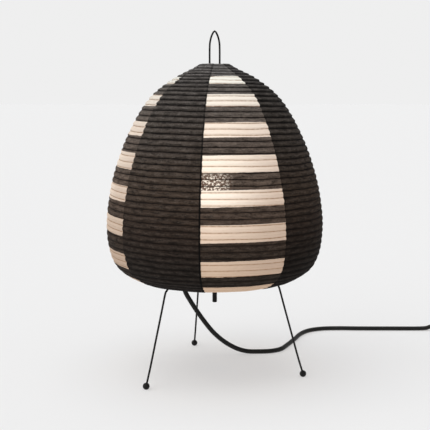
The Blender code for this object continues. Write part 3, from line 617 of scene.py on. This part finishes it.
CAP_RADIUS = 0.0131
cap_outline = [(0.0090, 0.1572), (0.0110, 0.1574), (0.0122, 0.1586), (CAP_RADIUS - 0.0004, 0.1600)]
cap_outline += [(CAP_RADIUS - 0.0003, 0.1600 + step * 0.00035) for step in range(1, 52)]
cap_outline += [(CAP_RADIUS, 0.1786), (CAP_RADIUS, 0.1804), (CAP_RADIUS - 0.0008, 0.1806)]
screw_cap = turned("screw_cap", cap_outline, 64, cap_metal)
for vertex in screw_cap.data.vertices:
    x, y, z = vertex.co
    if THREAD_LOW < z < THREAD_HIGH:
        wave = math.cos(2 * math.pi * (z / THREAD_PITCH - math.atan2(y, x) / (2 * math.pi)))
        fade = min(1, (z - THREAD_LOW) / 0.0015, (THREAD_HIGH - z) / 0.0015)
        stretch = 1 + THREAD_DEPTH * wave * fade / CAP_RADIUS
        vertex.co = (x * stretch, y * stretch, z)
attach(screw_cap, "bulb")
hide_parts("bulb_cap")
insulator = finish("cap_insulator", (0.012, 0.012, 0.016), (0.03, 0.03, 0.038), 800, 0.12, 0.25, dust=0.1)
for node, mat in (("bulb_insulator", insulator), ("bulb_filament_mount", ceramic),
                  ("bulb_tip", contact_brass)):
    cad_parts[node].material_slots[0].material = mat


# ---------------------------------------------------------------- shade: coiled rib
# One long coil of thin sprung wire inside the paper, a turn for every pleat, from the hem to
# the rim. It shows from below and through the mouth; on the real lamp it folds with the shade.
SHADE_OUTLINE = [
    (0.0800, 0.1150), (0.0940, 0.1172), (0.1080, 0.1242), (0.1200, 0.1350), (0.1275, 0.1545),
    (0.1300, 0.1810), (0.1274, 0.2115), (0.1202, 0.2444), (0.1089, 0.2774), (0.0944, 0.3080),
    (0.0763, 0.3344), (0.0515, 0.3546), (0.0278, 0.3673), (0.0175, 0.3724),
]
PITCH = 0.0072
RIB_WIRE, RIB_INSET = 0.0006, 0.0023
HEM_HEIGHT, RIM_HEIGHT = SHADE_OUTLINE[0][1], SHADE_OUTLINE[-1][1]
TOP_RING_RADIUS, TOP_RING_WIRE, TOP_RING_HEIGHT = 0.0155, 0.0010, 0.3714

outline = smooth_line([(r, 0, z) for r, z in SHADE_OUTLINE], 0.0008)
outline_r = np.array([p.x for p in outline])
outline_z = np.array([p.z for p in outline])
along_outline = np.concatenate([[0], np.cumsum(np.hypot(np.diff(outline_r), np.diff(outline_z)))])
SHADE_LENGTH = along_outline[-1]
slope_r = np.gradient(outline_r, along_outline)
slope_z = np.gradient(outline_z, along_outline)


def on_shade(azimuth, along, lift):
    """Points of the shade: degrees round it, metres up its outline, metres out from it."""
    r = np.interp(along, along_outline, outline_r) + lift * np.interp(along, along_outline, slope_z)
    z = np.interp(along, along_outline, outline_z) - lift * np.interp(along, along_outline, slope_r)
    turn = np.radians(azimuth)
    return np.stack([r * np.cos(turn), r * np.sin(turn), z], axis=-1)


def unevenness(points, size, seed):
    """Smooth noise from -1 to 1 at each point, with features of that size."""
    return np.array([noise.noise(Vector(p) / size + Vector((seed, 0, 0))) for p in points.reshape(-1, 3)]
                    ).reshape(points.shape[:-1])


def along_of(phase, azimuth):
    """How far up the outline the coil's turn of that number is at an azimuth."""
    along = PITCH * (phase - azimuth / 360)
    hand = unevenness(on_shade(azimuth, np.clip(along, 0, SHADE_LENGTH), 0), 0.035, 3.1)
    return along + PITCH * 0.09 * hand


rib_wire = finish("rib_wire", (0.020, 0.014, 0.010), (0.045, 0.030, 0.020), 900, 0.35, 0.55, dust=0.1)
turn_count = math.floor((SHADE_LENGTH - 0.008) / PITCH)
first_phase = math.ceil((0.004 + PITCH) / PITCH)
azimuths = np.linspace(0, 360 * turn_count, turn_count * 40 + 1)
heights = along_of(np.full_like(azimuths, first_phase + turn_count), azimuths)
rib = wire("coiled_rib", [tuple(p) for p in on_shade(azimuths, heights, -RIB_INSET)], RIB_WIRE, 1,
           rib_wire)
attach(rib, "stand")
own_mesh(rib)
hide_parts("helical_rib")


# ---------------------------------------------------------------- shade: paper gores
# Eight tapering gores of thin pleated paper, four black and four black with pale stripes,
# glued over the coil. The black ones lap over the striped ones. Light from the bulb showing
# through the pale stripes, and faintly through the black, is painted on as glow; painted shade
# in the creases, painted light on the tops and the pleats' middles, and lit and shaded copies
# of the gores are in their colours too.
GORE_COUNT, FIRST_SEAM, GORE_ANGLE = 8, 262.7, 45.0
STRIPES = [(0.1150, 0.1260), (0.1388, 0.1578), (0.1779, 0.1978), (0.2158, 0.2337), (0.2529, 0.2712),
           (0.2895, 0.3057), (0.3231, 0.3368), (0.3493, 0.3577)]
STRIPE_BOW, STRIPE_WANDER = 0.0055, 0.0007      # shares of the outline's length
PAPER_THICKNESS = 0.00028
LAP = 0.0011
INSET = 0.0012          # the creases lie this far inside the shade's outline
ACROSS, ROWS_PER_PLEAT = 26, 9


def washi_group():
    """The handmade paper: its creases, streaks and fibres, from the gore's own coordinates, with masks for
    painted shade in the creases and painted light on each pleat's middle.
    """
    group = bpy.data.node_groups.new("washi", "ShaderNodeTree")
    sheet = add_node(group, "Attribute", attribute_name="sheet").outputs["Vector"]
    seams = add_node(group, "SeparateXYZ", {0: add_node(group, "Attribute", attribute_name="seams")
                                            .outputs["Vector"]})
    parts = add_node(group, "SeparateXYZ", {0: sheet})
    flat = add_node(group, "CombineXYZ", {"X": parts.outputs["X"], "Y": parts.outputs["Y"]}).outputs[0]

    def noise_at(stretch, detail, distortion=0.0):
        place = add_node(group, "VectorMath", {0: flat, 1: stretch}, operation="MULTIPLY")
        return add_node(group, "TexNoise", {"Vector": place.outputs[0], "Scale": 1.0, "Detail": detail,
                                            "Roughness": 0.6, "Distortion": distortion}).outputs["Fac"]

    waver = noise_at((260, 500, 1), 3.0)
    from_rib = combined(group, "PINGPONG", parts.outputs["Z"], 0.5)
    from_rib = combined(group, "ADD", from_rib, ranged(group, waver, 0.3, 0.7, -0.025, 0.025))
    # Painted shade: a dark line along each crease under a turn of the coil, where the coil and the fold shade
    # the paper, weaker near the rim and low down.
    crease = ranged(group, from_rib, 0.03, 0.115, 1.0, 0.0, "SMOOTHSTEP")
    along = parts.outputs["Y"]
    crease = combined(group, "MULTIPLY", crease, ranged(group, along, 0.300, 0.325, 1.0, 0.45))
    crease = combined(group, "MULTIPLY", crease, ranged(group, along, 0.020, 0.170, 0.40, 1.0))
    # A finer painted-shade line along each crease for the pale stripes, with a faint one midway between
    # turns.
    fine_crease = ranged(group, from_rib, 0.015, 0.085, 1.0, 0.0, "SMOOTHSTEP")
    fine_crease = combined(group, "MAXIMUM", fine_crease,
                           ranged(group, from_rib, 0.43, 0.50, 0.0, 0.22, "SMOOTHSTEP"))
    # Painted light and shade across each pleat: none at the shaded crease, full at its lit middle.
    pleat_shading = ranged(group, from_rib, 0.05, 0.42, 0.0, 1.0, "SMOOTHSTEP")
    finer = combined(group, "MULTIPLY", noise_at((420, 900, 1), 2.0), 0.5)
    streaks = ranged(group, combined(group, "ADD", noise_at((70, 420, 1), 4.0, 0.6), finer), 0.52, 0.98)
    swirl = combined(group, "SUBTRACT", noise_at((330, 620, 1), 2.0, 2.2), 0.5)
    ridge = combined(group, "ABSOLUTE", swirl, 0.0)
    patchy = ranged(group, noise_at((120, 200, 1), 1.0), 0.42, 0.62)
    fibres = combined(group, "MULTIPLY", ranged(group, ridge, 0.0, 0.035, 1.0, 0.0), patchy)
    height = combined(group, "ADD", combined(group, "MULTIPLY", fibres, 0.4), streaks)
    # A dark line along each gore's edges: partly the joint's own dark colour, partly painted shadow of the
    # lapped edge, darkest where it crosses a crease's painted shade.
    nearest = combined(group, "MINIMUM", seams.outputs["X"], seams.outputs["Y"])
    nearest = combined(group, "ADD", nearest, ranged(group, waver, 0.3, 0.7, -0.0005, 0.0005))
    edge = ranged(group, nearest, 0.0004, 0.0013, 1.0, 0.0, "SMOOTHSTEP")
    edge = combined(group, "MULTIPLY", edge, ranged(group, crease, 0.0, 1.0, 0.35, 1.0))
    width = combined(group, "ADD", seams.outputs["X"], seams.outputs["Y"])
    middle = combined(group, "DIVIDE", combined(group, "MULTIPLY", seams.outputs["X"], seams.outputs["Y"]),
                      combined(group, "MULTIPLY", width, width))
    values = {"Crease": crease, "Fine Crease": fine_crease, "Pleat Shading": pleat_shading, "Streaks": streaks,
              "Fibres": fibres, "Height": height, "Along": along, "Edge": edge,
              "Left": seams.outputs["X"], "Right": seams.outputs["Y"], "Middle": middle}
    for name in values:
        group.interface.new_socket(name, in_out="OUTPUT", socket_type="NodeSocketFloat")
    out = group.nodes.new("NodeGroupOutput")
    for name, value in values.items():
        group.links.new(value, out.inputs[name])
    return group


WASHI = washi_group()


def ramp(tree, value, stops, interpolation="LINEAR"):
    """A colour that changes with a share of the outline's length, by (height, colour) stops."""
    node = add_node(tree, "ValToRGB", {"Fac": value})
    node.color_ramp.interpolation = interpolation
    marks = node.color_ramp.elements
    while len(marks) < len(stops):
        marks.new(0.5)
    for mark, (height, colour) in zip(marks, stops):
        mark.position = float(np.interp(height, outline_z, along_outline) / SHADE_LENGTH)
        mark.color = (*colour, 1)
    return node.outputs["Color"]


def times(tree, a, b):
    """The product of two colours."""
    return mix(tree, 1.0, a, b, "MULTIPLY")


def blackened(tree, mask, base, light, dark):
    """Base and glow colours, near-black and unlit where the mask is."""
    return mix(tree, mask, base, (dark, dark, dark)), mix(tree, mask, light, (0, 0, 0))


def black_side(tree, washi, share):
    """Base and glow colours of the black paper, with painted light and shade."""
    grey = mix(tree, washi["Streaks"], (0.012, 0.011, 0.010), (0.078, 0.067, 0.059))
    grey = mix(tree, washi["Fibres"], grey, (0.185, 0.165, 0.150))
    # Painted light: the black paper is much lighter and cooler towards the top under the overhead light, and
    # darker towards the hem.
    painted_light_level = ramp(tree, share, [
        (HEM_HEIGHT, (0.26, 0.25, 0.26)), (0.150, (0.36, 0.34, 0.33)),
        (0.190, (0.50, 0.45, 0.42)), (0.240, (0.72, 0.66, 0.62)),
        (0.300, (1.02, 1.0, 0.98)), (0.345, (1.22, 1.25, 1.28)),
        (RIM_HEIGHT, (2.3, 2.45, 2.65))])
    grey = times(tree, grey, painted_light_level)
    # Painted light on each pleat's middle, and painted shade in its crease.
    pleat_shading = mix(tree, washi["Pleat Shading"], (0.50, 0.50, 0.50), (1.15, 1.15, 1.15))
    grey = times(tree, grey, pleat_shading)
    grey = mix(tree, washi["Crease"], grey, (0.005, 0.004, 0.004))
    # Painted glow of the bulb through the black, brightest at the bulb's height.
    painted_glow = ramp(tree, share, [
        (HEM_HEIGHT, (0.0, 0.0, 0.0)), (0.150, (0.004, 0.002, 0.001)),
        (0.190, (0.014, 0.007, 0.004)), (0.232, (0.030, 0.018, 0.011)),
        (0.280, (0.014, 0.009, 0.006)), (0.330, (0.004, 0.003, 0.002)),
        (RIM_HEIGHT, (0.0, 0.0, 0.0))])
    streaks = mix(tree, washi["Streaks"], (0.10, 0.10, 0.10), (1.3, 1.3, 1.3))
    light = times(tree, painted_glow, streaks)
    # Painted shadow of the coil in the glow, at the creases.
    light = mix(tree, washi["Crease"], light, (0.0, 0.0, 0.0))
    return grey, light


def paper_shader(name):
    """What every sheet's material starts with: the washi and its relief."""
    mat, tree, shader = new_material(name, {
        "Roughness": 0.88, "Specular IOR Level": 0.06, "Emission Strength": 1.0})
    washi = add_node(tree, "Group", node_tree=WASHI).outputs
    share = combined(tree, "MULTIPLY", washi["Along"], float(1 / SHADE_LENGTH))
    relief = add_node(tree, "Bump", {"Height": washi["Height"], "Strength": 0.35,
                                     "Distance": 0.0003})
    tree.links.new(relief.outputs["Normal"], shader.inputs["Normal"])
    return mat, tree, shader, washi, share


def black_paper(name, painted_light_level):
    """A sheet of black paper, made lighter or darker as painted light: lit copies on the lamp's left, shaded
    copies on its right.
    """
    mat, tree, shader, washi, share = paper_shader(name)
    grey, light = black_side(tree, washi, share)
    grey, light = times(tree, grey, (painted_light_level, painted_light_level, painted_light_level)), times(tree, light, (painted_light_level, painted_light_level, painted_light_level))
    # A near-black, unlit band just inside the gore's right-hand edge, strong up to the bulb's height and
    # faint near the rim.
    right_lap_band = ranged(tree, washi["Right"], 0.0008, 0.0021, 0.95, 0.0, "SMOOTHSTEP")
    right_lap_band = times(tree, right_lap_band, ramp(tree, share, [(0.240, (1.0, 1.0, 1.0)), (0.330, (0.15, 0.15, 0.15))]))
    grey, light = blackened(tree, right_lap_band, grey, light, 0.003)
    # The dark seam line: the joint's own colour and painted shadow of the lapped edge.
    grey, light = blackened(tree, washi["Edge"], grey, light, 0.004)
    tree.links.new(grey, shader.inputs["Base Color"])
    tree.links.new(light, shader.inputs["Emission Color"])
    return mat


def striped_paper(name, painted_light_level, glow):
    """A striped sheet, its pale stripes darkened and its glow dimmed as painted light: the front gore is the
    lit copy, the others shaded copies.
    """
    mat, tree, shader, washi, share = paper_shader(name)
    grey, light = black_side(tree, washi, share)
    # Painted glow of the bulb through the black bands of the striped gores, strongest around the bulb's
    # height and cut at the creases in the coil's painted shadow.
    between = ramp(tree, share, [
        (HEM_HEIGHT, (0.003, 0.002, 0.001)), (0.165, (0.010, 0.007, 0.005)),
        (0.200, (0.024, 0.017, 0.013)), (0.300, (0.045, 0.034, 0.028)),
        (0.345, (0.045, 0.040, 0.035)), (RIM_HEIGHT, (0.02, 0.02, 0.02))])
    streaks = mix(tree, washi["Streaks"], (0.4, 0.4, 0.4), (1.6, 1.6, 1.6))
    between = mix(tree, washi["Crease"], times(tree, between, streaks), (0.0, 0.0, 0.0))
    light = mix(tree, 1.0, light, between, "ADD")

    wander = ranged(tree, washi["Streaks"], 0.0, 1.0, -STRIPE_WANDER, STRIPE_WANDER)
    bowed = add_node(tree, "Math", {0: washi["Middle"], 1: -STRIPE_BOW, 2: wander},
                     operation="MULTIPLY_ADD").outputs[0]
    torn = combined(tree, "ADD", share, bowed)
    stops = []
    for low, high in STRIPES:
        stops += [(low, (1, 1, 1)), (high, (0, 0, 0))]
    pale_here = ramp(tree, torn, stops, "CONSTANT")

    # Painted light: the pale stripes are whitest near the rim under the overhead light, and tan and darker
    # towards the hem, where they are shaded.
    pale = ramp(tree, share, [
        (HEM_HEIGHT, (0.58, 0.43, 0.32)), (0.150, (0.62, 0.48, 0.37)),
        (0.190, (0.69, 0.55, 0.44)), (0.235, (0.75, 0.62, 0.51)),
        (0.300, (0.80, 0.69, 0.59)), (0.335, (0.84, 0.78, 0.70)),
        (0.352, (0.86, 0.85, 0.78)), (RIM_HEIGHT, (0.86, 0.85, 0.79))])
    pale = mix(tree, washi["Streaks"], times(tree, pale, (0.92, 0.91, 0.90)), pale)
    # Painted shade: a brown line along each crease, where a turn of the coil shows dark against the glow
    # through the pale paper.
    pale_crease = combined(tree, "MULTIPLY", washi["Fine Crease"], 0.85)
    pale = mix(tree, pale_crease, pale, (0.30, 0.15, 0.07))
    pale = times(tree, pale, (painted_light_level, painted_light_level, painted_light_level))
    # Painted glow of the bulb through the pale stripes, brightest just above the bulb's middle and towards
    # each gore's left seam.
    far = ramp(tree, share, [
        (HEM_HEIGHT, (0.06, 0.03, 0.01)), (0.150, (0.06, 0.03, 0.02)),
        (0.190, (0.08, 0.05, 0.03)), (0.235, (0.12, 0.08, 0.06)),
        (0.300, (0.14, 0.11, 0.09)), (0.335, (0.12, 0.11, 0.09)),
        (RIM_HEIGHT, (0.08, 0.08, 0.07))])
    near = ramp(tree, share, [
        (HEM_HEIGHT, (0.10, 0.06, 0.03)), (0.150, (0.14, 0.09, 0.06)),
        (0.190, (0.24, 0.19, 0.15)), (0.225, (0.48, 0.46, 0.42)),
        (0.262, (0.42, 0.40, 0.35)), (0.300, (0.26, 0.22, 0.18)),
        (0.335, (0.17, 0.15, 0.12)), (RIM_HEIGHT, (0.10, 0.10, 0.08))])
    towards_seam = ranged(tree, washi["Left"], 0.012, 0.092, 1.0, 0.0, "SMOOTHSTEP")
    through = mix(tree, towards_seam, far, near)
    # Painted light and shade of each pleat on the glow too.
    glow_pleat_shading = mix(tree, washi["Pleat Shading"], (0.72, 0.66, 0.60), (1.05, 1.05, 1.05))
    through = times(tree, through, glow_pleat_shading)
    # The same painted shadow of the coil in the glow.
    through = mix(tree, pale_crease, through, (0.04, 0.02, 0.01))
    through = times(tree, through, (glow, glow, glow))

    # A painted glow patch: the bulb showing through the black band beside each striped gore's left seam, at
    # the bulb's height, in speckles.
    near_bulb = ramp(tree, share, [
        (0.222, (0, 0, 0)), (0.236, (1, 1, 1)),
        (0.246, (1, 1, 1)), (0.258, (0, 0, 0))])
    near_seam = ranged(tree, washi["Left"], 0.020, 0.036, 1.0, 0.0)
    bulb_glow_patch = times(tree, near_bulb, near_seam)
    sheet = add_node(tree, "Attribute", attribute_name="sheet").outputs["Vector"]
    place = add_node(tree, "VectorMath", {0: sheet, 1: (300, 430, 0)}, operation="MULTIPLY").outputs[0]
    pricks = add_node(tree, "TexNoise", {"Vector": place, "Scale": 1.0, "Detail": 2.0, "Roughness": 0.7})
    pricks = ranged(tree, pricks.outputs["Fac"], 0.50, 0.57)
    speckle = mix(tree, pricks, (0.140, 0.085, 0.060), (0.98, 0.87, 0.74))
    # The speckled glow is cut by the coil's painted shadow at the creases.
    speckle = mix(tree, washi["Crease"], speckle, (0.02, 0.01, 0.005))
    light = mix(tree, bulb_glow_patch, light, speckle)

    base = mix(tree, pale_here, grey, pale)
    light = mix(tree, pale_here, light, through)
    # The dark seam line: the joint's own colour and painted shadow of the lapped edge.
    base, light = blackened(tree, washi["Edge"], base, light, 0.004)
    tree.links.new(base, shader.inputs["Base Color"])
    tree.links.new(light, shader.inputs["Emission Color"])
    return mat


def pleat_lift(phase, along, points):
    """How far the paper stands out between two turns: cupped low down, saw-toothed above."""
    part = phase % 1
    cupped = np.sin(np.pi * part) ** 0.75
    rise = np.clip(part / 0.20, 0, 1)
    toothed = np.where(part < 0.20, rise * rise * (3 - 2 * rise), 1 - ((part - 0.20) / 0.80) ** 1.25)
    upper = np.clip((along - 0.150) / 0.100, 0, 1)
    upper = upper * upper * (3 - 2 * upper)
    depth = 0.00135 * (1 + 0.25 * unevenness(points, 0.020, 7.7))
    depth *= np.clip(np.minimum(along, SHADE_LENGTH - along) / 0.012, 0.1, 1)
    depth *= np.interp(along, [0, 0.150, 0.285, SHADE_LENGTH], [0.55, 1, 1, 0.5])
    return depth * (cupped * (1 - upper) + toothed * upper)


def paper_gore(name, number, lap, mat):
    """One gore: a fine grid laid on the shade's outline, pleated, and given its thickness."""
    start = FIRST_SEAM + number * GORE_ANGLE
    low_phase = start / 360 - 0.2
    high_phase = SHADE_LENGTH / PITCH + (start + GORE_ANGLE) / 360 + 0.2
    rows = math.ceil((high_phase - low_phase) * ROWS_PER_PLEAT)
    bpy.ops.object.select_all(action="DESELECT")
    bpy.ops.mesh.primitive_grid_add(x_subdivisions=ACROSS, y_subdivisions=rows, size=1)
    obj = bpy.context.object
    obj.name = obj.data.name = name
    flat = np.empty(len(obj.data.vertices) * 3)
    obj.data.vertices.foreach_get("co", flat)
    u, v = flat.reshape(-1, 3)[:, 0] + 0.5, flat.reshape(-1, 3)[:, 1] + 0.5
    phase = low_phase + v * (high_phase - low_phase)
    azimuth = start + u * GORE_ANGLE
    along = np.clip(along_of(phase, azimuth), 0, SHADE_LENGTH)
    radius = np.interp(along, along_outline, outline_r)
    ragged = unevenness(np.stack([0 * along, np.full_like(along, start), along], axis=-1), 0.004, 1.3)
    side = np.where(u < 0.001, -1, np.where(u > 0.999, 1, 0))
    azimuth = azimuth + side * np.degrees((lap + 0.0004 * ragged) / radius)
    surface = on_shade(azimuth, along, 0)
    lift = pleat_lift(phase, along, surface)
    crumple = unevenness(surface, 0.006, 2.3) * 0.00012 + unevenness(surface, 0.016, 5.9) * 0.00022
    fade = np.clip(np.minimum(along, SHADE_LENGTH - along) / 0.010, 0, 1)
    points = on_shade(azimuth, along, lift + (crumple - INSET) * fade + (0.00032 if lap else 0.0))
    obj.data.vertices.foreach_set("co", points.ravel())

    half_width = radius * math.radians(GORE_ANGLE / 2)
    across = (u - 0.5) * 2 * half_width
    sheet = obj.data.attributes.new("sheet", "FLOAT_VECTOR", "POINT")
    sheet.data.foreach_set("vector", np.stack([across + 0.3 * number, along, phase], axis=-1).ravel())
    seams = obj.data.attributes.new("seams", "FLOAT_VECTOR", "POINT")
    seams.data.foreach_set("vector", np.stack([across + half_width, half_width - across, 0 * along],
                                              axis=-1).ravel())
    bpy.ops.object.mode_set(mode="EDIT")
    bpy.ops.mesh.select_all(action="SELECT")
    bpy.ops.mesh.remove_doubles(threshold=0.000002)
    bpy.ops.object.mode_set(mode="OBJECT")
    thickness = obj.modifiers.new("thickness", "SOLIDIFY")
    thickness.thickness = PAPER_THICKNESS
    thickness.offset = -1
    bpy.ops.object.modifier_apply(modifier="thickness")
    bpy.ops.object.shade_smooth_by_angle(angle=math.radians(60))
    obj.data.materials.append(mat)
    return obj


# Lit and shaded copies of one paper, as painted light: the front striped gore is lit and the others shaded;
# the black gores on the left are lit and those on the right shaded.
papers = [striped_paper("striped_paper_lit_front", 1.0, 1.0), black_paper("black_paper_shaded_right", 0.66),
          striped_paper("striped_paper_shaded_rest", 0.78, 0.6), black_paper("black_paper_lit_left", 0.95)]
for number in range(GORE_COUNT):
    kind = "black" if number % 2 else "striped"
    paper = paper_gore(f"{kind}_paper_{number // 2 + 1}", number, LAP if kind == "black" else 0.0,
                       papers[(0, 1, 2, 1, 2, 3, 2, 3)[number]])
    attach(paper, "stand")
    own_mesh(paper)
    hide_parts(f"{kind}_gore_{number // 2 + 1}")


# ---------------------------------------------------------------- rings and bridge
# A wire ring in the hem and a smaller one in the rim, both in black paint. Under the rim
# ring a flat bar with two eyes rides on the bow's legs, and holds the shade up.
for name, radius, thick, height, node, body in (
        ("hem_ring", RING_RADIUS, RING_WIRE, RING_HEIGHT, "bottom_ring", "stand"),
        ("rim_ring", TOP_RING_RADIUS, TOP_RING_WIRE, TOP_RING_HEIGHT, "top_ring", "shade_top")):
    bpy.ops.object.select_all(action="DESELECT")
    bpy.ops.mesh.primitive_torus_add(major_radius=radius, minor_radius=thick, major_segments=144,
                                     minor_segments=14, location=(0, 0, height))
    ring = bpy.context.object
    ring.name = ring.data.name = name
    bpy.ops.object.transform_apply(location=True, rotation=True, scale=True)
    bpy.ops.object.shade_smooth()
    ring.data.materials.append(black_wire)
    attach(ring, body)
    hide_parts(node)
bridge = softened("sliding_bridge", "top_bridge", 0.0002, black_wire)
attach(bridge, "shade_top")
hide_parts("top_bridge")
